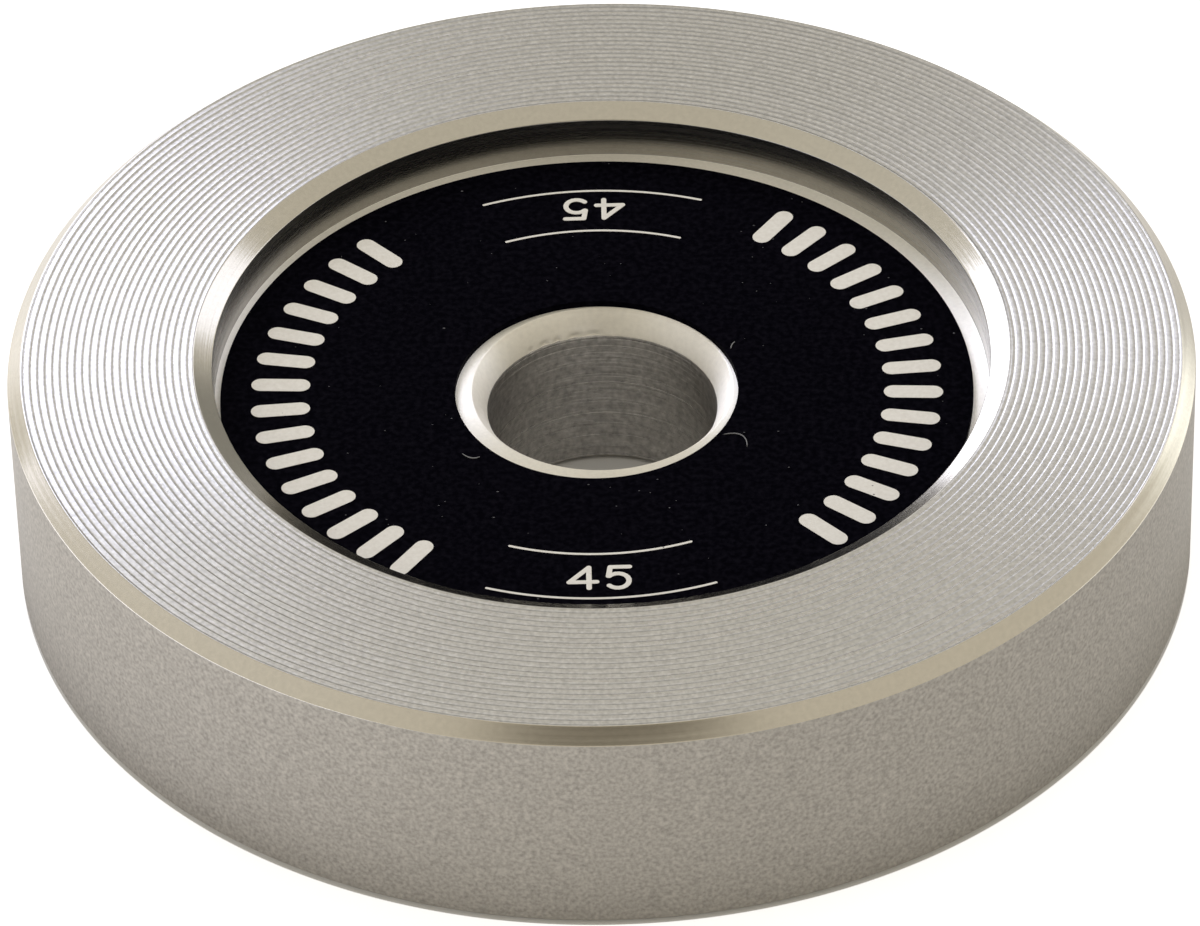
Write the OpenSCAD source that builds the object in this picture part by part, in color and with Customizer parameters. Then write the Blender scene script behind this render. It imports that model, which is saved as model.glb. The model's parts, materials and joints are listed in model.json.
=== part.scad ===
// Record spindle adapter: a turned aluminium puck that fills the large centre hole of a single,
// with a bore for the turntable's spindle and a printed disc lying in the recess of its top face.
// Millimetres, +Z up. The origin is on the underside, on the axis of the bore.

/* [Body] */
// Outside diameter, which passes through the 38.1 mm centre hole of a single
outer_d = 38; // [36:0.1:40]
// Height from the underside to the top face
height = 7.7; // [6:0.1:12]
// Chamfer round the top edge, measured along each face
top_chamfer = 0.45; // [0.2:0.05:0.9]
// Chamfer round the bottom edge, measured along each face
bottom_chamfer = 0.2; // [0.1:0.05:0.9]

/* [Spindle bore] */
// Bore diameter, which clears a turntable spindle of 7.1 to 7.25 mm
bore_d = 7.4; // [7.3:0.02:7.8]
// Width of the countersink at the top of the bore, seen from above
countersink_w = 0.48; // [0.2:0.02:1]
// Depth of that countersink
countersink_depth = 0.8; // [0.2:0.02:1.2]
// Chamfer at the bottom of the bore, measured along each face
bore_foot_chamfer = 0.15; // [0.05:0.05:0.5]

/* [Recess] */
// Diameter of the recess wall
recess_d = 24.9; // [20:0.1:30]
// Depth of the recess floor below the top face
recess_depth = 1.75; // [1:0.05:3]
// Width of the bevel at the mouth of the recess, seen from above
lip_w = 0.6; // [0.2:0.05:1]
// Depth of that bevel
lip_depth = 0.34; // [0.2:0.02:0.8]

/* [Turning grooves] */
// Feed of the facing tool, which is the distance from one groove to the next
groove_pitch = 0.239; // [0.16:0.001:0.6]
// Depth of each groove below the crests beside it
groove_depth = 0.02; // [0.01:0.005:0.05]

/* [Label disc] */
// Thickness of the disc
label_t = 0.23; // [0.1:0.01:0.5]
// Gap all round between a centred disc and the recess wall
label_play = 0.38; // [0.1:0.02:1]
// Gap that is left where the disc, laid in off centre, comes closest to the wall
label_least_gap = 0.02; // [0.01:0.01:0.08]
// Direction in which the disc lies off centre, anticlockwise from +X
label_off_direction = 242; // [0:1:359]
// Ring of bare floor between the countersink and a centred disc's hole
label_hole_land = 0.36; // [0.1:0.02:1]

/* [Hidden] */
$fn = 240;

aluminium = [0.70, 0.68, 0.65];
black_ink = [0.03, 0.03, 0.045];

outer_r = outer_d / 2;
bore_r = bore_d / 2;
recess_r = recess_d / 2;
floor_z = height - recess_depth;
countersink_r = bore_r + countersink_w;

// The grooved face runs from the recess's bevel to the top chamfer. The facing tool makes as
// many whole grooves as fit there, and what is left over is a plain land at each edge.
face_inner_r = recess_r + lip_w;
face_outer_r = outer_r - top_chamfer;
face_w = face_outer_r - face_inner_r;
groove_count = floor(face_w / groove_pitch);
face_land = (face_w - groove_count * groove_pitch) / 2;

label_r = recess_r - label_play;
label_hole_r = countersink_r + label_hole_land;
label_off = label_play - label_least_gap;

// Radius of the crest outside groove i, counted inwards from the rim
function crest_r(i) = face_outer_r - face_land - i * groove_pitch;

// Section of the top face, from the rim inwards: each groove falls to its root and rises again
function grooved_face() = [
    [face_outer_r, height],
    for (i = [0 : groove_count - 1])
        each [
            [crest_r(i), height],
            [crest_r(i) - groove_pitch / 2, height - groove_depth]
        ],
    [crest_r(groove_count), height],
    [face_inner_r, height]
];

// Section of the underside and of the outer wall, from the bore outwards and up
function foot_and_wall() = [
    [bore_r, bore_foot_chamfer],
    [bore_r + bore_foot_chamfer, 0],
    [outer_r - bottom_chamfer, 0],
    [outer_r, bottom_chamfer],
    [outer_r, height - top_chamfer]
];

// Section of the recess, from its bevel down to the floor and in to the bore
function recess_and_bore() = [
    [recess_r, height - lip_depth],
    [recess_r, floor_z],
    [countersink_r, floor_z],
    [bore_r, floor_z - countersink_depth]
];

// The body is turned from bar in one setting, so it is one section carried round the axis
module adapter_body() {
    color(aluminium)
        rotate_extrude()
            polygon(concat(foot_and_wall(), grooved_face(), recess_and_bore()));
}

// The printed disc lies on the recess floor, a little off centre
module label_disc() {
    color(black_ink)
        translate([
            label_off * cos(label_off_direction),
            label_off * sin(label_off_direction),
            floor_z
        ])
            linear_extrude(label_t)
                difference() {
                    circle(r = label_r);
                    circle(r = label_hole_r);
                }
}

adapter_body();
label_disc();
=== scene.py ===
import json
import math

import bmesh
import bpy
import numpy as np
from mathutils import Matrix, Vector


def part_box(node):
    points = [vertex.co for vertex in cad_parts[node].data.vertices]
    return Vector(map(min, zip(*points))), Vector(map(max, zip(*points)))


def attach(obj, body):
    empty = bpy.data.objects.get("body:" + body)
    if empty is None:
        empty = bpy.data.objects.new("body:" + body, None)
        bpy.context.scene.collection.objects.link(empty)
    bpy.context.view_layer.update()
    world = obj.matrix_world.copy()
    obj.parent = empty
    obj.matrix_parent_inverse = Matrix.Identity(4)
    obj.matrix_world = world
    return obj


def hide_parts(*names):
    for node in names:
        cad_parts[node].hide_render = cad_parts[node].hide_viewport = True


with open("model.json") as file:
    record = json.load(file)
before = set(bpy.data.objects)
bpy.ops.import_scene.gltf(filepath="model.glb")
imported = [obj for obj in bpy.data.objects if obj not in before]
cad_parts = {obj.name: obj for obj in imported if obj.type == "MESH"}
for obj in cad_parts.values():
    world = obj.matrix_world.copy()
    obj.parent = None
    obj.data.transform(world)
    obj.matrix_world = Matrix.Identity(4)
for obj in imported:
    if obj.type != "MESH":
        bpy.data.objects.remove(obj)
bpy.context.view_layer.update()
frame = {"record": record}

# Camera
# The adapter is looked down on from the front through a long lens, from about 27 cm, with the
# picture turned by a degree and a half. The aim is set by where the middle of the underside falls.
IMAGE_W = 1200
IMAGE_H = 926
UNDERSIDE_PX = (605.4, 530.4)
FOCAL_PX = 8200
SENSOR_W = 36
VIEW_DISTANCE = 0.267
VIEW_ELEVATION = math.radians(39.63)
VIEW_ROLL = math.radians(1.41)
CLIP_NEAR = VIEW_DISTANCE / 10
CLIP_FAR = 20


def look_down_camera():
    """A camera at the view distance and elevation over the front, turned to the underside's middle,
    then rolled, tipped and panned until that point falls on its pixel."""
    lens = bpy.data.cameras.new("camera")
    lens.sensor_width = SENSOR_W
    lens.lens = FOCAL_PX * SENSOR_W / IMAGE_W
    lens.clip_start = CLIP_NEAR
    lens.clip_end = CLIP_FAR
    camera = bpy.data.objects.new("camera", lens)
    across = UNDERSIDE_PX[0] - IMAGE_W / 2
    below = UNDERSIDE_PX[1] - IMAGE_H / 2
    pan = math.atan2(across, FOCAL_PX)
    tip = math.atan2(below, math.hypot(FOCAL_PX, across))
    back = Vector((0, -math.cos(VIEW_ELEVATION), math.sin(VIEW_ELEVATION)))
    camera.matrix_world = (
        Matrix.Translation(back * VIEW_DISTANCE)
        @ Matrix.Rotation(math.pi / 2 - VIEW_ELEVATION, 4, "X")
        @ Matrix.Rotation(-VIEW_ROLL, 4, "Z")
        @ Matrix.Rotation(tip, 4, "X")
        @ Matrix.Rotation(pan, 4, "Y")
    )
    bpy.context.scene.collection.objects.link(camera)
    bpy.context.scene.camera = camera


look_down_camera()

# Adapter body
# One piece of aluminium turned from bar: a matte outer wall, bright chamfers, a top face covered
# in fine rings by the facing tool, and a recess and a countersunk bore cut in the same setting.
MM = 0.001
mounts = {mount["name"]: mount for mount in frame["record"]["mounts"]}
OUTER_R = mounts["record_seat"]["dims"]["r_mm"] * MM
BORE_R = mounts["spindle_bore"]["dims"]["r_mm"] * MM
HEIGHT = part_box("adapter_body")[1].z
FLOOR_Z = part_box("label_disc")[0].z
TOP_CHAMFER = 0.45 * MM
BOTTOM_CHAMFER = 0.2 * MM
BORE_FOOT_CHAMFER = 0.15 * MM
COUNTERSINK_W = 0.48 * MM
COUNTERSINK_DEPTH = 0.8 * MM
RECESS_R = 12.45 * MM
LIP_W = 0.6 * MM
LIP_DEPTH = 0.34 * MM
GROOVE_PITCH = 0.239 * MM
GROOVE_DEPTH = 0.02 * MM
GROOVE_STEPS = 5
GROOVE_LEAN = 0.2
GROOVE_WEAR = 0.1
GROOVE_SEED = 4
CONE_BULGE = 0.05 * MM
CONE_STEPS = 7
EDGE_BREAK = 0.03 * MM
EDGE_STEPS = 4
EDGE_LEAD = 1.5
RINGS_CLEAR = 1.6 * EDGE_BREAK
ROUND_STEPS = 480


def broken_corners(corners, width, steps):
    """A closed section with each corner cut back by the width and bent round: between the cut
    points A and B of corner C it follows (1 - t)^2 A + 2 t (1 - t) C + t^2 B, with one more point
    EDGE_LEAD widths from C along each side. Returns the points and the corner that each belongs to."""
    before = np.roll(corners, 1, axis=0) - corners
    after = np.roll(corners, -1, axis=0) - corners
    before /= np.linalg.norm(before, axis=1, keepdims=True)
    after /= np.linalg.norm(after, axis=1, keepdims=True)
    t = np.linspace(0, 1, steps + 1)[None, :, None]
    start = (corners + before * width)[:, None]
    end = (corners + after * width)[:, None]
    bend = (1 - t) ** 2 * start + 2 * t * (1 - t) * corners[:, None] + t**2 * end
    lead_in = (corners + before * EDGE_LEAD * width)[:, None]
    lead_out = (corners + after * EDGE_LEAD * width)[:, None]
    points = np.concatenate([lead_in, bend, lead_out], axis=1)
    owner = np.repeat(np.arange(len(corners)), points.shape[1])
    return points.reshape(-1, 2), owner


def scalloped(outer_r, inner_r, height):
    """Rings left by the facing tool between two radii: across a groove the height falls by
    depth (1 - u^2) below the crests, where u runs from -1 at the outer crest to 0 at the lean and
    on to 1 at the inner crest, so that a groove's outer side is short and steep. Each groove's
    depth is off by up to the wear. Returns the points, and which of them are crests."""
    count = int((outer_r - inner_r) / GROOVE_PITCH)
    land = (outer_r - inner_r - count * GROOVE_PITCH) / 2
    across = np.linspace(0, count, count * GROOVE_STEPS + 1)
    share = across % 1
    falling = share / GROOVE_LEAN - 1
    rising = (share - GROOVE_LEAN) / (1 - GROOVE_LEAN)
    u = np.where(share < GROOVE_LEAN, falling, rising)
    number = np.minimum(across.astype(int), count - 1)
    worn = 1 + GROOVE_WEAR * np.random.default_rng(GROOVE_SEED).uniform(-1, 1, count)
    radius = outer_r - land - across * GROOVE_PITCH
    z = height - GROOVE_DEPTH * (1 - u**2) * worn[number]
    crest = np.isclose(np.abs(u), 1)
    return np.stack([radius, z], axis=1), crest


def bowed(points, start, end, bulge):
    """Points of a section moved out of the metal by bulge 4 t (1 - t), where t runs from 0 to 1
    along the stretch from start to end. It turns a chamfer into a rounded edge."""
    stretch = end - start
    t = np.clip((points - start) @ stretch / (stretch @ stretch), 0, 1)[:, None]
    outwards = np.array([stretch[1], -stretch[0]]) / np.linalg.norm(stretch)
    return points + outwards * bulge * 4 * t * (1 - t)


def turned(section, steps):
    """A section of (radius, height) points carried round the Z axis: point i at step j lies at
    (r cos a, r sin a, z), with a going once round in equal steps."""
    angle = np.linspace(0, 2 * np.pi, steps, endpoint=False)
    round_axis = np.stack([np.cos(angle), np.sin(angle)], axis=-1)
    points = np.empty((len(section), steps, 3))
    points[..., :2] = section[:, None, :1] * round_axis
    points[..., 2] = section[:, None, 1]
    return points


def closed_quads(rows, columns):
    """The faces of a grid whose last row meets its first and whose last column meets its first."""
    here = np.arange(rows * columns).reshape(rows, columns)
    beside = np.roll(here, -1, axis=1)
    above = np.roll(here, -1, axis=0)
    corner = np.roll(above, -1, axis=1)
    return np.stack([here, beside, corner, above], axis=-1).reshape(-1, 4)


def new_piece(name, points, faces):
    """A smooth-shaded mesh object of these points and faces, at the origin."""
    mesh = bpy.data.meshes.new(name)
    mesh.from_pydata(points.reshape(-1, 3), [], faces)
    mesh.shade_smooth()
    piece = bpy.data.objects.new(name, mesh)
    bpy.context.scene.collection.objects.link(piece)
    return piece


def sharpen_rows(piece, columns, sharp_rows):
    """Marks the ring edges of some rows of a turned piece as sharp, so that shading breaks there."""
    mesh = piece.data
    ends = np.empty(len(mesh.edges) * 2, int)
    mesh.edges.foreach_get("vertices", ends)
    row = ends.reshape(-1, 2) // columns
    sharp = (row[:, 0] == row[:, 1]) & sharp_rows[row[:, 0]]
    mesh.edges.foreach_set("use_edge_sharp", sharp)


BODY_CORNERS = np.array([
    [BORE_R, BORE_FOOT_CHAMFER],
    [BORE_R + BORE_FOOT_CHAMFER, 0],
    [OUTER_R - BOTTOM_CHAMFER, 0],
    [OUTER_R, BOTTOM_CHAMFER],
    [OUTER_R, HEIGHT - TOP_CHAMFER],
    [OUTER_R - TOP_CHAMFER, HEIGHT],
    [RECESS_R + LIP_W, HEIGHT],
    [RECESS_R, HEIGHT - LIP_DEPTH],
    [RECESS_R, FLOOR_Z],
    [BORE_R + COUNTERSINK_W, FLOOR_Z],
    [BORE_R, FLOOR_Z - COUNTERSINK_DEPTH],
])
# The finish of the stretch that follows each corner above
BODY_FINISHES = [
    "bevel", "underside", "bevel", "wall", "bevel", "face", "lip", "polish", "floor", "cone", "bore",
]
FACE_CORNER = 5
CONE_CORNER = 9


def body_section():
    """The body's section with its corners broken, the rings cut into its top face and the
    countersink rounded. Returns the points, the number of the corner that each belongs to, and
    which points are sharp: the crests of the rings and the first point down the bore."""
    points, owner = broken_corners(BODY_CORNERS, EDGE_BREAK, EDGE_STEPS)
    sharp = np.zeros(len(points), bool)
    split = np.searchsorted(owner, FACE_CORNER + 1)
    outer_r = BODY_CORNERS[FACE_CORNER, 0]
    inner_r = BODY_CORNERS[FACE_CORNER + 1, 0]
    rings, crest = scalloped(outer_r, inner_r, HEIGHT)
    clear = (rings[:, 0] < outer_r - RINGS_CLEAR) & (rings[:, 0] > inner_r + RINGS_CLEAR)
    points = np.insert(points, split, rings[clear], axis=0)
    owner = np.insert(owner, split, np.full(clear.sum(), FACE_CORNER))
    sharp = np.insert(sharp, split, crest[clear])
    split = np.searchsorted(owner, CONE_CORNER + 1)
    cone = np.linspace(points[split - 1], points[split], CONE_STEPS + 2)[1:-1]
    points = np.insert(points, split, cone, axis=0)
    owner = np.insert(owner, split, np.full(CONE_STEPS, CONE_CORNER))
    sharp = np.insert(sharp, split, np.zeros(CONE_STEPS, bool))
    rows = owner >= CONE_CORNER
    cone_top = BODY_CORNERS[CONE_CORNER]
    cone_foot = BODY_CORNERS[CONE_CORNER + 1]
    points[rows] = bowed(points[rows], cone_top, cone_foot, CONE_BULGE)
    # Sharp here, so that the nicks above leave the shading of the bore alone
    sharp[-1] = True
    return points, owner, sharp


# Where the cutter chattered at the lower edge of the countersink: angle and spread in degrees, and
# how deep the mark is cut in millimetres, or below nothing where the metal is raised
NICKS = [
    (94, 4, 0.08),
    (103, 2.5, 0.1),
    (112, 1.5, 0.08),
    (119, 2.5, 0.09),
    (127, 1.5, 0.06),
    (84, 3, -0.04),
]
NICK_Z = FLOOR_Z - 0.94 * COUNTERSINK_DEPTH
NICK_HEIGHT = 0.06 * MM


def nicked(points, angle):
    """Small marks cut outwards into the rounded countersink: each is its depth times
    exp(-(angle - middle)^2 / spread^2) times exp(-(z - NICK_Z)^2 / NICK_HEIGHT^2). The last row,
    where the straight bore begins, stays round."""
    rows = section_owner >= CONE_CORNER
    rows[-1] = False
    height = np.exp(-(((points[rows, :, 2] - NICK_Z) / NICK_HEIGHT) ** 2))
    outwards = points[rows, :, :2] / np.linalg.norm(points[rows, :, :2], axis=-1, keepdims=True)
    for middle, spread, depth in NICKS:
        cut = depth * MM * np.exp(-(((angle - math.radians(middle)) / math.radians(spread)) ** 2))
        points[rows, :, :2] += outwards * (cut * height)[..., None]
    return points


section, section_owner, section_sharp = body_section()
step_angles = np.linspace(0, 2 * np.pi, ROUND_STEPS, endpoint=False)
body_points = nicked(turned(section, ROUND_STEPS), step_angles)
body = new_piece("turned_body", body_points, closed_quads(len(section), ROUND_STEPS))
sharpen_rows(body, ROUND_STEPS, section_sharp)

# The turning marks: how often they change in a metre round the axis, how much a step in height
# counts against one in radius, and the lowest and highest value that their noise often reaches
MARKS_AROUND = 40
MARKS_RISE = 1.9
MARKS_LOW = 0.3
MARKS_HIGH = 0.7
QUARTER_TURN = 0.25


def turning_marks_group():
    """Fine rings round the axis, as a turning tool leaves them: noise at the point (around x,
    around y, rings (r + MARKS_RISE z)), which changes fast with radius and height and slowly
    round the axis. It puts out a value from 0 to 1."""
    group = bpy.data.node_groups.new("turning_marks", "ShaderNodeTree")
    group.interface.new_socket("Rings", in_out="INPUT", socket_type="NodeSocketFloat")
    around_socket = group.interface.new_socket("Around", in_out="INPUT", socket_type="NodeSocketFloat")
    around_socket.default_value = MARKS_AROUND
    group.interface.new_socket("Marks", in_out="OUTPUT", socket_type="NodeSocketFloat")
    nodes, links = group.nodes, group.links
    given = nodes.new("NodeGroupInput")
    out = nodes.new("NodeGroupOutput")
    place = nodes.new("ShaderNodeTexCoord")
    flat = nodes.new("ShaderNodeVectorMath")
    flat.operation = "MULTIPLY"
    flat.inputs[1].default_value = (1, 1, 0)
    links.new(place.outputs["Object"], flat.inputs[0])
    radius = nodes.new("ShaderNodeVectorMath")
    radius.operation = "LENGTH"
    links.new(flat.outputs[0], radius.inputs[0])
    split = nodes.new("ShaderNodeSeparateXYZ")
    links.new(place.outputs["Object"], split.inputs[0])
    along = nodes.new("ShaderNodeMath")
    along.operation = "MULTIPLY_ADD"
    along.inputs[1].default_value = MARKS_RISE
    links.new(split.outputs["Z"], along.inputs[0])
    links.new(radius.outputs["Value"], along.inputs[2])
    rings = nodes.new("ShaderNodeMath")
    rings.operation = "MULTIPLY"
    links.new(along.outputs[0], rings.inputs[0])
    links.new(given.outputs["Rings"], rings.inputs[1])
    around = nodes.new("ShaderNodeVectorMath")
    around.operation = "SCALE"
    links.new(flat.outputs[0], around.inputs[0])
    links.new(given.outputs["Around"], around.inputs["Scale"])
    place_round = nodes.new("ShaderNodeSeparateXYZ")
    links.new(around.outputs[0], place_round.inputs[0])
    pattern_place = nodes.new("ShaderNodeCombineXYZ")
    links.new(place_round.outputs["X"], pattern_place.inputs["X"])
    links.new(place_round.outputs["Y"], pattern_place.inputs["Y"])
    links.new(rings.outputs[0], pattern_place.inputs["Z"])
    noise = nodes.new("ShaderNodeTexNoise")
    noise.inputs["Scale"].default_value = 1
    noise.inputs["Detail"].default_value = 3
    links.new(pattern_place.outputs[0], noise.inputs["Vector"])
    links.new(noise.outputs["Fac"], out.inputs["Marks"])
    return group


def metal(name, color, roughness, across, rings, grain):
    """Bare aluminium: its roughness wanders with the turning marks, its colour with a fine grain,
    and both stand in its surface as a little relief. Rings and grain each say how often the marks
    change in a metre, how far the roughness or the colour strays, and how high the relief is.
    Across the marks the metal is rougher than along them, which draws its highlights out towards
    the axis."""
    ring_scale, ring_spread, ring_height = rings
    grain_scale, grain_spread, grain_height = grain
    material = bpy.data.materials.new(name)
    material.use_nodes = True
    nodes, links = material.node_tree.nodes, material.node_tree.links
    shader = nodes["Principled BSDF"]
    shader.inputs["Metallic"].default_value = 1
    shader.inputs["Anisotropic"].default_value = across
    shader.inputs["Anisotropic Rotation"].default_value = QUARTER_TURN
    round_axis = nodes.new("ShaderNodeTangent")
    round_axis.direction_type = "RADIAL"
    round_axis.axis = "Z"
    links.new(round_axis.outputs["Tangent"], shader.inputs["Tangent"])
    marks = nodes.new("ShaderNodeGroup")
    marks.node_tree = bpy.data.node_groups.get("turning_marks") or turning_marks_group()
    marks.inputs["Rings"].default_value = ring_scale
    place = nodes.new("ShaderNodeTexCoord")
    speckle = nodes.new("ShaderNodeTexNoise")
    speckle.inputs["Scale"].default_value = grain_scale
    speckle.inputs["Detail"].default_value = 2
    links.new(place.outputs["Object"], speckle.inputs["Vector"])
    rough = nodes.new("ShaderNodeMapRange")
    rough.inputs["From Min"].default_value = MARKS_LOW
    rough.inputs["From Max"].default_value = MARKS_HIGH
    rough.inputs["To Min"].default_value = roughness - ring_spread
    rough.inputs["To Max"].default_value = roughness + ring_spread
    links.new(marks.outputs["Marks"], rough.inputs["Value"])
    links.new(rough.outputs["Result"], shader.inputs["Roughness"])
    tint = nodes.new("ShaderNodeMix")
    tint.data_type = "RGBA"
    tint.inputs["A"].default_value = (*[channel * (1 - grain_spread) for channel in color], 1)
    tint.inputs["B"].default_value = (*[channel * (1 + grain_spread) for channel in color], 1)
    links.new(speckle.outputs["Fac"], tint.inputs["Factor"])
    links.new(tint.outputs["Result"], shader.inputs["Base Color"])
    ring_relief = nodes.new("ShaderNodeBump")
    ring_relief.inputs["Distance"].default_value = ring_height
    links.new(marks.outputs["Marks"], ring_relief.inputs["Height"])
    grain_relief = nodes.new("ShaderNodeBump")
    grain_relief.inputs["Distance"].default_value = grain_height
    links.new(speckle.outputs["Fac"], grain_relief.inputs["Height"])
    links.new(ring_relief.outputs["Normal"], grain_relief.inputs["Normal"])
    links.new(grain_relief.outputs["Normal"], shader.inputs["Normal"])
    return material


# Though the body is one aluminium, its colours are partly painted light: the countersink and the recess
# floor are painted a bright cream, and the outer wall and the recess wall a darker grey as painted shade.
BODY_METALS = {
    "bevel": metal(
        "bright_bevel",
        color=(0.6, 0.56, 0.48),
        roughness=0.22,
        across=0.3,
        rings=(9000, 0.04, 0.003 * MM),
        grain=(6000, 0.08, 0.0005 * MM),
    ),
    "lip": metal(
        "recess_lip",
        color=(0.56, 0.53, 0.46),
        roughness=0.15,
        across=0,
        rings=(9000, 0.03, 0.002 * MM),
        grain=(6000, 0.08, 0.0005 * MM),
    ),
    "underside": metal(
        "faced_underside",
        color=(0.58, 0.56, 0.52),
        roughness=0.3,
        across=0.6,
        rings=(6000, 0.08, 0.006 * MM),
        grain=(9000, 0.1, 0.001 * MM),
    ),
    # The outer wall's darker grey is partly painted shade.
    "wall": metal(
        "matte_wall_painted_shade",
        color=(0.43, 0.405, 0.37),
        roughness=0.5,
        across=0,
        rings=(5000, 0.03, 0.001 * MM),
        grain=(8000, 0.5, 0.005 * MM),
    ),
    "face": metal(
        "ringed_face",
        color=(0.55, 0.54, 0.52),
        roughness=0.28,
        across=0,
        rings=(9000, 0.01, 0.0002 * MM),
        grain=(7000, 0.35, 0.004 * MM),
    ),
    # The recess wall's darker grey is partly painted shade.
    "polish": metal(
        "recess_wall_painted_shade",
        color=(0.4, 0.385, 0.365),
        roughness=0.26,
        across=0,
        rings=(6000, 0.04, 0.0004 * MM),
        grain=(6000, 0.12, 0.0005 * MM),
    ),
    # The recess floor's bright cream is partly painted light.
    "floor": metal(
        "recess_floor_painted_light",
        color=(0.95, 0.92, 0.84),
        roughness=0.48,
        across=0.9,
        rings=(9000, 0.05, 0.004 * MM),
        grain=(9000, 0.08, 0.001 * MM),
    ),
    # The countersink's bright cream is partly painted light.
    "cone": metal(
        "countersink",
        color=(0.92, 0.88, 0.79),
        roughness=0.48,
        across=0.9,
        rings=(9000, 0.04, 0.002 * MM),
        grain=(6000, 0.08, 0.0005 * MM),
    ),
    "bore": metal(
        "reamed_bore",
        color=(0.49, 0.475, 0.46),
        roughness=0.33,
        across=0.5,
        rings=(9000, 0.12, 0.05 * MM),
        grain=(5000, 0.6, 0.01 * MM),
    ),
}
finish_names = list(BODY_METALS)
for finish in finish_names:
    body.data.materials.append(BODY_METALS[finish])
finish_number = np.array([finish_names.index(finish) for finish in BODY_FINISHES])
# A bend belongs half to the stretch before it, so its first points keep that stretch's finish
row_finish = finish_number[section_owner]
lead = np.arange(len(section)) - np.searchsorted(section_owner, section_owner)
row_finish = np.where(lead < 1 + EDGE_STEPS // 2, finish_number[section_owner - 1], row_finish)
body.data.polygons.foreach_set("material_index", np.repeat(row_finish, ROUND_STEPS))
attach(body, "root")
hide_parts("adapter_body")

# Label disc
# A thin black plastic disc with a round hole, cut out a little smaller than the recess and stuck to
# its floor off centre. Its edges are cleanly cut and show the same black.
LABEL_LOW, LABEL_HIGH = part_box("label_disc")
LABEL_X = (LABEL_LOW.x + LABEL_HIGH.x) / 2
LABEL_Y = (LABEL_LOW.y + LABEL_HIGH.y) / 2
LABEL_R = (LABEL_HIGH.x - LABEL_LOW.x) / 2
LABEL_TOP = LABEL_HIGH.z
LABEL_HOLE_R = 4.54 * MM
LABEL_EDGE = 0.015 * MM
LABEL_STEPS = ROUND_STEPS // 2

label_corners = np.array([
    [LABEL_HOLE_R, LABEL_LOW.z],
    [LABEL_R, LABEL_LOW.z],
    [LABEL_R, LABEL_TOP],
    [LABEL_HOLE_R, LABEL_TOP],
])
label_section = broken_corners(label_corners, LABEL_EDGE, EDGE_STEPS)[0]
label_points = turned(label_section, LABEL_STEPS) + np.array([LABEL_X, LABEL_Y, 0])
label = new_piece("label", label_points, closed_quads(len(label_section), LABEL_STEPS))


def label_black():
    """Dull black plastic with a fine mottle."""
    material = bpy.data.materials.new("label_black")
    material.use_nodes = True
    nodes, links = material.node_tree.nodes, material.node_tree.links
    shader = nodes["Principled BSDF"]
    shader.inputs["IOR"].default_value = 1.03
    shader.inputs["Roughness"].default_value = 0.4
    place = nodes.new("ShaderNodeTexCoord")
    mottle = nodes.new("ShaderNodeTexNoise")
    mottle.inputs["Scale"].default_value = 5000
    mottle.inputs["Detail"].default_value = 4
    links.new(place.outputs["Object"], mottle.inputs["Vector"])
    shade = nodes.new("ShaderNodeValToRGB")
    shade.color_ramp.elements[0].position = 0.4
    shade.color_ramp.elements[0].color = (0.0012, 0.001, 0.0026, 1)
    shade.color_ramp.elements[1].position = 0.8
    shade.color_ramp.elements[1].color = (0.006, 0.0055, 0.009, 1)
    links.new(mottle.outputs["Fac"], shade.inputs["Fac"])
    links.new(shade.outputs["Color"], shader.inputs["Base Color"])
    return material


label.data.materials.append(label_black())
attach(label, "root")
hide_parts("label_disc")

# Label print
# Warm white ink on the disc: a ring of short radial bars on the left and on the right, as on a
# disc for checking a turntable's speed, and the speed in small figures at the front and back.
INK_LOW = LABEL_TOP - 0.004 * MM
INK_HIGH = LABEL_TOP + 0.008 * MM
BAR_INNER_R = 9.2 * MM
BAR_OUTER_R = 11.1 * MM
BAR_WIDTH = 0.62 * MM
BAR_PITCH = math.radians(7.2)
BAR_TURN = math.radians(4)
BARS_EACH_SIDE = 15
FIGURE_R = 9.45 * MM
FIGURE_HEIGHT = 1.0 * MM
FIGURE_WIDTH = 0.17 * MM
FIGURE_LIFT = 0.001 * MM
LINE_RADII = (8.3 * MM, 10.45 * MM)
LINE_WIDTH = 0.09 * MM
LINE_HALF_ANGLE = math.radians(20)
LINE_STEPS = 40
STRAIGHT_STEPS = 4
INK_END_STEPS = 6
MERGE_WITHIN = 1e-7

# The figures 4 and 5 as strokes, one unit high, and where their lower left corners go
FOUR = np.array([[0.62, 0], [0.62, 1], [0, 0.3], [0.86, 0.3]])
FIVE_TOP = np.array([[0.74, 1], [0.14, 1], [0.08, 0.56]])
FIVE_BOWL_MIDDLE = np.array([0.37, 0.33])
FIVE_BOWL_R = 0.35
FIVE_BOWL_END = math.radians(140)
FIVE_BOWL_STEPS = 16
FOUR_PLACE = np.array([-1.0, -0.5])
FIVE_PLACE = np.array([0.15, -0.5])


def arc(middle, radius, start, end, steps):
    """Points at equal angles along a circle: middle + radius (cos a, sin a)."""
    a = np.linspace(start, end, steps)
    return middle + radius * np.stack([np.cos(a), np.sin(a)], axis=1)


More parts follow.
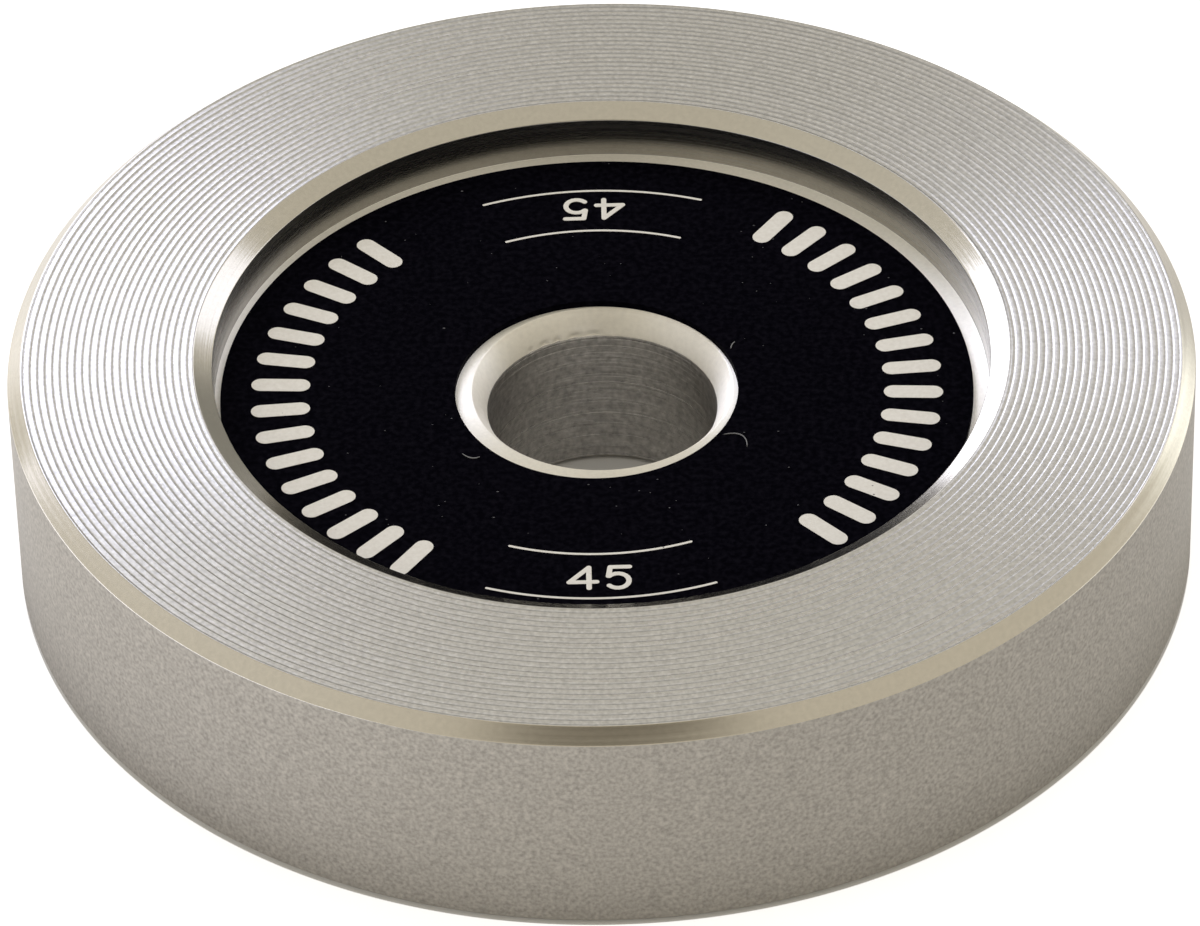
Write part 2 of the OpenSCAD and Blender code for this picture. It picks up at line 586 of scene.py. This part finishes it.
def ink_stroke(path, width, lift):
    """A flat stroke of ink with round ends: a path of (x, y) points widened to each side. Round
    each end the half width is w sin b and the point moves out by w cos b, as b goes to nothing.
    The lift keeps the tops of strokes that cross from lying in one plane."""
    half = width / 2
    ahead = np.gradient(path, axis=0)
    ahead /= np.linalg.norm(ahead, axis=1, keepdims=True)
    b = np.linspace(0, np.pi / 2, INK_END_STEPS)[:, None]
    first = path[:1] - ahead[:1] * half * np.cos(b)
    last = path[-1:] + ahead[-1:] * half * np.cos(b[::-1])
    middle = np.concatenate([first, path[1:-1], last])
    turn_in = np.repeat(ahead[:1], INK_END_STEPS, axis=0)
    turn_out = np.repeat(ahead[-1:], INK_END_STEPS, axis=0)
    direction = np.concatenate([turn_in, ahead[1:-1], turn_out])
    reach = np.concatenate([np.sin(b), np.ones((len(path) - 2, 1)), np.sin(b[::-1])]) * half
    left = np.stack([-direction[:, 1], direction[:, 0]], axis=1)
    corners = np.stack([middle + left * reach, middle - left * reach], axis=1)
    low = np.concatenate([corners, np.full((len(middle), 2, 1), INK_LOW)], axis=2)
    high = np.concatenate([corners, np.full((len(middle), 2, 1), INK_HIGH + lift)], axis=2)
    return np.stack([high[:, 0], high[:, 1], low[:, 1], low[:, 0]], axis=1)


def figure_strokes():
    """The strokes of a 45 at the front, its middle at (0, -FIGURE_R), and the same turned half
    round at the back."""
    four = [FOUR[:2], FOUR[1:3], FOUR[2:]]
    bowl = arc(FIVE_BOWL_MIDDLE, FIVE_BOWL_R, FIVE_BOWL_END, -FIVE_BOWL_END, FIVE_BOWL_STEPS)
    five = [FIVE_TOP[:2], FIVE_TOP[1:], bowl]
    unit = [stroke + FOUR_PLACE for stroke in four] + [stroke + FIVE_PLACE for stroke in five]
    front = []
    for stroke in unit:
        if len(stroke) == 2:
            stroke = np.linspace(stroke[0], stroke[-1], STRAIGHT_STEPS)
        front.append(stroke * FIGURE_HEIGHT - np.array([0, FIGURE_R]))
    return front + [-stroke for stroke in front]


# Each stroke of the print with its width and its lift
strokes = [(stroke, FIGURE_WIDTH, FIGURE_LIFT * number) for number, stroke in enumerate(figure_strokes())]
bar_start = BAR_INNER_R + BAR_WIDTH / 2
bar_end = BAR_OUTER_R - BAR_WIDTH / 2
for side in (0, math.pi):
    for bar in range(BARS_EACH_SIDE):
        angle = side + BAR_TURN + (bar - (BARS_EACH_SIDE - 1) / 2) * BAR_PITCH
        reach = np.linspace(bar_start, bar_end, STRAIGHT_STEPS)[:, None]
        strokes.append((reach * np.array([math.cos(angle), math.sin(angle)]), BAR_WIDTH, 0))
    for line_r in LINE_RADII:
        middle = side + math.pi / 2
        line = arc(np.zeros(2), line_r, middle - LINE_HALF_ANGLE, middle + LINE_HALF_ANGLE, LINE_STEPS)
        strokes.append((line, LINE_WIDTH, 0))


def swept_quads(rows, around, first):
    """The faces of a grid that is closed round each row, its points numbered from first."""
    here = np.arange(rows * around).reshape(rows, around) + first
    beside = np.roll(here, -1, axis=1)
    return np.stack([here[:-1], here[1:], beside[1:], beside[:-1]], axis=-1).reshape(-1, 4)


def joined_sweeps(name, sweeps):
    """One piece of several swept grids. Points that meet at their ends are merged, which closes
    them, and the faces are turned outwards."""
    starts = np.cumsum([0] + [sweep.shape[0] * sweep.shape[1] for sweep in sweeps])
    points = np.concatenate([sweep.reshape(-1, 3) for sweep in sweeps])
    faces = [swept_quads(*sweep.shape[:2], start) for sweep, start in zip(sweeps, starts)]
    piece = new_piece(name, points, np.concatenate(faces))
    work = bmesh.new()
    work.from_mesh(piece.data)
    bmesh.ops.remove_doubles(work, verts=work.verts, dist=MERGE_WITHIN)
    bmesh.ops.recalc_face_normals(work, faces=work.faces)
    work.to_mesh(piece.data)
    work.free()
    return piece


label_middle = np.array([LABEL_X, LABEL_Y])
ink = joined_sweeps("label_print", [ink_stroke(path + label_middle, *size) for path, *size in strokes])
ink.data.shade_flat()


def ink_white():
    """Warm white ink, a little uneven in how thickly it lies."""
    material = bpy.data.materials.new("print_white")
    material.use_nodes = True
    nodes, links = material.node_tree.nodes, material.node_tree.links
    shader = nodes["Principled BSDF"]
    shader.inputs["Roughness"].default_value = 0.6
    place = nodes.new("ShaderNodeTexCoord")
    uneven = nodes.new("ShaderNodeTexNoise")
    uneven.inputs["Scale"].default_value = 7000
    uneven.inputs["Detail"].default_value = 2
    links.new(place.outputs["Object"], uneven.inputs["Vector"])
    shade = nodes.new("ShaderNodeMix")
    shade.data_type = "RGBA"
    shade.inputs["A"].default_value = (0.68, 0.65, 0.59, 1)
    shade.inputs["B"].default_value = (0.86, 0.84, 0.79, 1)
    links.new(uneven.outputs["Fac"], shade.inputs["Factor"])
    links.new(shade.outputs["Result"], shader.inputs["Base Color"])
    return material


ink.data.materials.append(ink_white())
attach(ink, "root")

# Lint and dust
# Three short fibres and a scatter of pale specks that lie on the black disc, where they show most.
# The fibres are fluff, and the specks are bits of dust and paper.
FIBRES = [
    np.array([[4.19, 1.54], [4.19, 1.76], [4.33, 1.90]]) * MM,
    np.array([[3.81, -2.85], [4.62, -2.62], [4.56, -3.51]]) * MM,
    np.array([[-4.49, -3.48], [-4.20, -3.86], [-3.92, -3.66]]) * MM,
]
FIBRE_R = 0.022 * MM
FIBRE_MIDDLE_Z = FIBRE_R * 0.9
FIBRE_ROWS = 24
FIBRE_SIDES = 6
SPECK_SEED = 11
SPECK_COUNT = 90
SPECK_SIDES = 6
SPECK_INNER_R = 4.9 * MM
SPECK_OUTER_R = 11.7 * MM
# A speck's size in millimetres and the share of it that is kept, each drawn between two limits
SPECK_SIZES = (0.018, 0.05)
SPECK_SHARES = (0.6, 1)
# How narrow a speck is, and the heights of its rim, top and foot, as shares of its size
SPECK_NARROW = 0.7
SPECK_RIM_Z = 0.15
SPECK_TOP_Z = 0.5
SPECK_FOOT_Z = -0.2


def fibre(bend):
    """A fibre along the curve (1 - t)^2 A + 2 t (1 - t) B + t^2 C, lying on the disc. It is round,
    and thins to nothing at both ends as the fourth root of sin(pi t)."""
    t = np.linspace(0, 1, FIBRE_ROWS)[:, None]
    path = (1 - t) ** 2 * bend[0] + 2 * t * (1 - t) * bend[1] + t**2 * bend[2]
    ahead = np.gradient(path, axis=0)
    ahead /= np.linalg.norm(ahead, axis=1, keepdims=True)
    side = np.stack([-ahead[:, 1], ahead[:, 0]], axis=1)
    thick = FIBRE_R * np.clip(np.sin(np.pi * t), 0, 1) ** 0.25
    a = np.linspace(0, 2 * np.pi, FIBRE_SIDES, endpoint=False)[None, :, None]
    level = path[:, None] + side[:, None] * thick[:, None] * np.cos(a)
    rise = LABEL_TOP + FIBRE_MIDDLE_Z + thick[:, None] * np.sin(a)
    return np.concatenate([level, rise], axis=2)


def specks():
    """Flattened specks: each is six points round a middle, one above and one below it. They are
    spread evenly over the ring: the radius is the square root of an even draw between the squares
    of its two limits."""
    dice = np.random.default_rng(SPECK_SEED)
    radius = np.sqrt(dice.uniform(SPECK_INNER_R**2, SPECK_OUTER_R**2, SPECK_COUNT))
    angle = dice.uniform(0, 2 * np.pi, SPECK_COUNT)
    size = dice.uniform(*SPECK_SIZES, SPECK_COUNT) * MM * dice.uniform(*SPECK_SHARES, SPECK_COUNT)
    height = np.full(SPECK_COUNT, LABEL_TOP)
    middle = np.stack([radius * np.cos(angle), radius * np.sin(angle), height], axis=1)
    a = np.linspace(0, 2 * np.pi, SPECK_SIDES, endpoint=False)
    rim = np.stack([np.cos(a), np.sin(a) * SPECK_NARROW, np.full(SPECK_SIDES, SPECK_RIM_Z)], axis=1)
    shape = np.concatenate([rim, [[0, 0, SPECK_TOP_Z]], [[0, 0, SPECK_FOOT_Z]]])
    points = middle[:, None] + shape * size[:, None, None]
    here = np.arange(SPECK_SIDES)
    beside = np.roll(here, -1)
    caps = np.concatenate([
        np.stack([here, beside, np.full(SPECK_SIDES, SPECK_SIDES)], axis=1),
        np.stack([beside, here, np.full(SPECK_SIDES, SPECK_SIDES + 1)], axis=1),
    ])
    faces = caps[None] + (np.arange(SPECK_COUNT) * len(shape))[:, None, None]
    return points.reshape(-1, 3), faces.reshape(-1, 3)


def dust_grey(name, low, high):
    """Pale dust, from the darker colour to the lighter by a fine noise."""
    material = bpy.data.materials.new(name)
    material.use_nodes = True
    nodes, links = material.node_tree.nodes, material.node_tree.links
    shader = nodes["Principled BSDF"]
    shader.inputs["Roughness"].default_value = 0.9
    place = nodes.new("ShaderNodeTexCoord")
    patchy = nodes.new("ShaderNodeTexNoise")
    patchy.inputs["Scale"].default_value = 400
    links.new(place.outputs["Object"], patchy.inputs["Vector"])
    shade = nodes.new("ShaderNodeMix")
    shade.data_type = "RGBA"
    shade.inputs["A"].default_value = low
    shade.inputs["B"].default_value = high
    links.new(patchy.outputs["Fac"], shade.inputs["Factor"])
    links.new(shade.outputs["Result"], shader.inputs["Base Color"])
    return material


lint = joined_sweeps("lint", [fibre(bend) for bend in FIBRES])
lint.data.materials.append(dust_grey("lint_grey", (0.12, 0.12, 0.125, 1), (0.3, 0.3, 0.31, 1)))
dust = new_piece("dust", *specks())
dust.data.materials.append(dust_grey("dust_grey", (0.02, 0.02, 0.024, 1), (0.22, 0.22, 0.24, 1)))
for bits in (lint, dust):
    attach(bits, "root")

# Floor
# A plain white floor that the adapter stands on. In the open it glows a little for the camera, so that it
# stands white as paper. For what the metal shows of it, the glow is a painted reflection, strongest on the
# left, with painted shade next to the adapter.
FLOOR_HALF = 3.0
FLOOR_DROP = 0.02 * MM
FLOOR_PAINT = (0.8, 0.8, 0.8, 1)
FLOOR_GLOW = 0.62
FLOOR_GLOW_REACH = 0.05
# Painted reflection: glow that only the metal's reflections show, at shares of the way from the reach on
# the left to it on the right
FLOOR_PAINTED_REFLECTION = [(0.0, 0.58), (0.35, 0.34), (0.55, 0.21), (0.75, 0.2), (1.0, 0.02)]
# Painted shade in the metal's reflections: the reflected glow fades to nothing over this width next to the
# adapter, for the adapter's shadow on the floor
FLOOR_PAINTED_SHADE_WIDTH = 2.8 * MM

floor = new_piece(
    "floor",
    np.array([[-1, -1, 0], [1, -1, 0], [1, 1, 0], [-1, 1, 0]]) * FLOOR_HALF - np.array([0, 0, FLOOR_DROP]),
    np.array([[0, 1, 2, 3]]),
)


def white_floor():
    """Matt white paint, with a glow added that only camera rays and glossy rays pick up. The glossy ones
    get it as a painted reflection, graded from left to right by the listed levels, and faded as painted
    shade next to the adapter. There is none under the adapter or in its bore."""
    material = bpy.data.materials.new("white_floor")
    material.use_nodes = True
    nodes, links = material.node_tree.nodes, material.node_tree.links
    nodes.remove(nodes["Principled BSDF"])
    paint = nodes.new("ShaderNodeBsdfDiffuse")
    paint.inputs["Color"].default_value = FLOOR_PAINT
    place = nodes.new("ShaderNodeTexCoord")
    split = nodes.new("ShaderNodeSeparateXYZ")
    links.new(place.outputs["Object"], split.inputs[0])
    rightness = nodes.new("ShaderNodeMapRange")
    rightness.inputs["From Min"].default_value = -FLOOR_GLOW_REACH
    rightness.inputs["From Max"].default_value = FLOOR_GLOW_REACH
    links.new(split.outputs["X"], rightness.inputs["Value"])
    # Painted reflection: the glow that glossy rays see, graded from left to right
    painted_reflection_ramp = nodes.new("ShaderNodeValToRGB")
    steps = painted_reflection_ramp.color_ramp.elements
    while len(steps) < len(FLOOR_PAINTED_REFLECTION):
        steps.new(1)
    for step, (share, level) in zip(steps, FLOOR_PAINTED_REFLECTION):
        step.position = share
        step.color = (level, level, level, 1)
    links.new(rightness.outputs["Result"], painted_reflection_ramp.inputs["Fac"])
    ray = nodes.new("ShaderNodeLightPath")
    painted_reflection = nodes.new("ShaderNodeMath")
    painted_reflection.operation = "MULTIPLY"
    links.new(ray.outputs["Is Glossy Ray"], painted_reflection.inputs[0])
    links.new(painted_reflection_ramp.outputs["Color"], painted_reflection.inputs[1])
    seen = nodes.new("ShaderNodeMath")
    seen.operation = "MULTIPLY_ADD"
    seen.inputs[1].default_value = FLOOR_GLOW
    links.new(ray.outputs["Is Camera Ray"], seen.inputs[0])
    away = nodes.new("ShaderNodeVectorMath")
    away.operation = "LENGTH"
    links.new(place.outputs["Object"], away.inputs[0])
    # Painted shade in the reflections, fading the glow next to the adapter
    clear = nodes.new("ShaderNodeMapRange")
    clear.inputs["From Min"].default_value = OUTER_R
    clear.inputs["From Max"].default_value = OUTER_R + FLOOR_PAINTED_SHADE_WIDTH
    links.new(away.outputs["Value"], clear.inputs["Value"])
    painted_reflection_after_shade = nodes.new("ShaderNodeMath")
    painted_reflection_after_shade.operation = "MULTIPLY"
    links.new(painted_reflection.outputs[0], painted_reflection_after_shade.inputs[0])
    links.new(clear.outputs["Result"], painted_reflection_after_shade.inputs[1])
    links.new(painted_reflection_after_shade.outputs[0], seen.inputs[2])
    in_open = nodes.new("ShaderNodeMath")
    in_open.operation = "GREATER_THAN"
    in_open.inputs[1].default_value = OUTER_R
    links.new(away.outputs["Value"], in_open.inputs[0])
    strength = nodes.new("ShaderNodeMath")
    strength.operation = "MULTIPLY"
    links.new(seen.outputs[0], strength.inputs[0])
    links.new(in_open.outputs[0], strength.inputs[1])
    glow = nodes.new("ShaderNodeEmission")
    links.new(strength.outputs[0], glow.inputs["Strength"])
    both = nodes.new("ShaderNodeAddShader")
    links.new(paint.outputs[0], both.inputs[0])
    links.new(glow.outputs[0], both.inputs[1])
    links.new(both.outputs[0], nodes["Material Output"].inputs["Surface"])
    return material


floor.data.materials.append(white_floor())

# Light
# A pale warm room with a broad cool window behind the adapter to the left, a smaller one to the
# right and a low white board on either side. The rings of the top face catch the two windows as
# bright fans, and the chamfers catch the boards.
ROOM = (0.74, 0.70, 0.61, 1)
ROOM_LEFT = (0.84, 0.81, 0.74, 1)
ROOM_LEFT_STARTS = -0.2
ROOM_LEFT_FULL = -0.9
WINDOW_DISTANCE = 0.8
COOL = (0.75, 0.79, 1.0)
NEUTRAL = (0.9, 0.96, 1.0)


def softbox(name, azimuth, elevation, across, up, level, color):
    """A rectangular area light aimed at the adapter. Azimuth is counted from straight behind it,
    to the right; across and up are the half angles that it fills, all in degrees. Level is how
    bright its face is, and its power is that times pi times its area."""
    light = bpy.data.lights.new(name, "AREA")
    light.shape = "RECTANGLE"
    light.size = 2 * WINDOW_DISTANCE * math.tan(math.radians(across))
    light.size_y = 2 * WINDOW_DISTANCE * math.tan(math.radians(up))
    light.energy = level * math.pi * light.size * light.size_y
    light.color = color
    lamp = bpy.data.objects.new(name, light)
    turn = math.radians(azimuth)
    rise = math.radians(elevation)
    aim = Vector((math.sin(turn) * math.cos(rise), math.cos(turn) * math.cos(rise), math.sin(rise)))
    facing = aim.to_track_quat("Z", "Y").to_matrix().to_4x4()
    lamp.matrix_world = Matrix.Translation(aim * WINDOW_DISTANCE) @ facing
    bpy.context.scene.collection.objects.link(lamp)


softbox("window_left", azimuth=-27, elevation=22.5, across=14, up=22, level=3.0, color=COOL)
softbox("window_right", azimuth=41.5, elevation=33, across=22.5, up=7.5, level=1.6, color=COOL)
softbox("board_left", azimuth=-98, elevation=6, across=42, up=6, level=2.3, color=COOL)
softbox("board_right", azimuth=67, elevation=6, across=30, up=6, level=1.5, color=NEUTRAL)

# Soft dark patches of the room: the way to the middle, how much each axis counts, the distances
# at which it starts to pale and has gone, and its colour
ROOM_PATCHES = [
    ((0, -0.62, 0.785), (0.5, 1, 1), 0.08, 0.21, (0.12, 0.1, 0.07, 1)),
    ((0.24, 0.95, 0.17), (0.55, 1, 1), 0.18, 0.34, (0.34, 0.33, 0.3, 1)),
]


def room_light():
    """Light from all round: ROOM on the right, ROOM_LEFT on the left, and darker in soft patches
    over the front, behind the camera, and low down at the back."""
    world = bpy.data.worlds.new("room")
    world.use_nodes = True
    nodes, links = world.node_tree.nodes, world.node_tree.links
    place = nodes.new("ShaderNodeTexCoord")
    split = nodes.new("ShaderNodeSeparateXYZ")
    links.new(place.outputs["Generated"], split.inputs[0])
    leftness = nodes.new("ShaderNodeMapRange")
    leftness.interpolation_type = "SMOOTHSTEP"
    leftness.inputs["From Min"].default_value = ROOM_LEFT_STARTS
    leftness.inputs["From Max"].default_value = ROOM_LEFT_FULL
    links.new(split.outputs["X"], leftness.inputs["Value"])
    sides = nodes.new("ShaderNodeMix")
    sides.data_type = "RGBA"
    sides.inputs["A"].default_value = ROOM
    sides.inputs["B"].default_value = ROOM_LEFT
    links.new(leftness.outputs["Result"], sides.inputs["Factor"])
    light = sides.outputs["Result"]
    for middle, stretch, inner, outer, color in ROOM_PATCHES:
        offset = nodes.new("ShaderNodeVectorMath")
        offset.operation = "SUBTRACT"
        offset.inputs[1].default_value = middle
        links.new(place.outputs["Generated"], offset.inputs[0])
        counted = nodes.new("ShaderNodeVectorMath")
        counted.operation = "MULTIPLY"
        counted.inputs[1].default_value = stretch
        links.new(offset.outputs[0], counted.inputs[0])
        away = nodes.new("ShaderNodeVectorMath")
        away.operation = "LENGTH"
        links.new(counted.outputs[0], away.inputs[0])
        pale = nodes.new("ShaderNodeMapRange")
        pale.interpolation_type = "SMOOTHSTEP"
        pale.inputs["From Min"].default_value = inner
        pale.inputs["From Max"].default_value = outer
        links.new(away.outputs["Value"], pale.inputs["Value"])
        shade = nodes.new("ShaderNodeMix")
        shade.data_type = "RGBA"
        shade.inputs["A"].default_value = color
        links.new(light, shade.inputs["B"])
        links.new(pale.outputs["Result"], shade.inputs["Factor"])
        light = shade.outputs["Result"]
    links.new(light, nodes["Background"].inputs["Color"])
    bpy.context.scene.world = world


room_light()
bpy.context.scene.view_settings.view_transform = "Standard"
